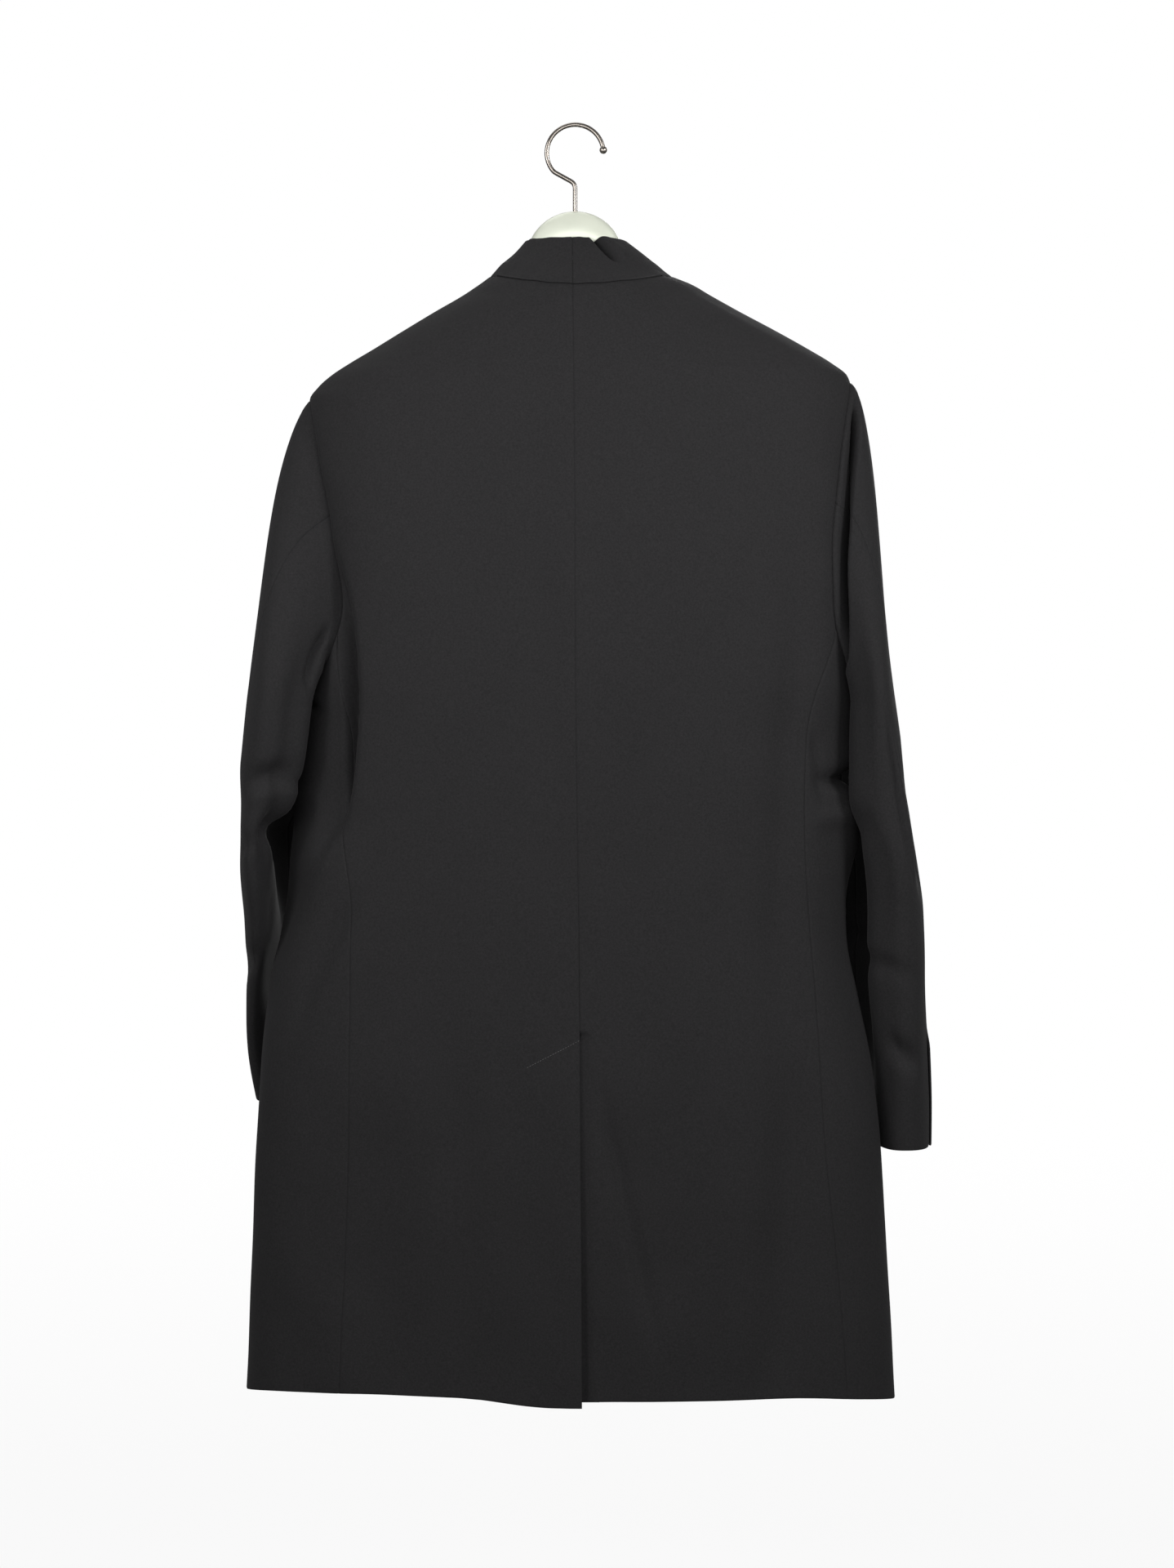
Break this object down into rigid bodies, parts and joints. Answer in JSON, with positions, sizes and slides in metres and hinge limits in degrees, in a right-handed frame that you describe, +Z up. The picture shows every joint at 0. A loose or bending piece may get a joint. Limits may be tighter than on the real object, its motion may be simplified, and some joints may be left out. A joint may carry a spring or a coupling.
{
  "type": "collarless coat on hanger",
  "caption": "Long dark wool coat with a low neck stand and no collar, a centre back vent and two-piece sleeves, hanging on a contoured hanger with a wire hook.",
  "frame": {"origin": "top of the inside of the hanger's hook, where it hangs on a rail", "axes": "+Z up, the coat's front faces +Y and its back -Y, so +X is the wearer's right"},
  "size_m": [0.5657, 0.2213, 1.0641],
  "materials": {
    "coat_cloth": "smooth fine worsted wool, near black, with a soft sheen",
    "hanger_silver": "pale silver, half gloss",
    "hook_steel": "polished steel wire"
  },
  "bodies": {
    "root": {"back_left": "coat_cloth", "back_right": "coat_cloth", "side_left": "coat_cloth", "side_right": "coat_cloth", "front_left": "coat_cloth", "front_right": "coat_cloth", "top_sleeve_left": "coat_cloth", "under_sleeve_left": "coat_cloth", "top_sleeve_right": "coat_cloth", "under_sleeve_right": "coat_cloth", "hanger_body": "hanger_silver", "hanger_hook": "hook_steel"}
  },
  "joints": []
}
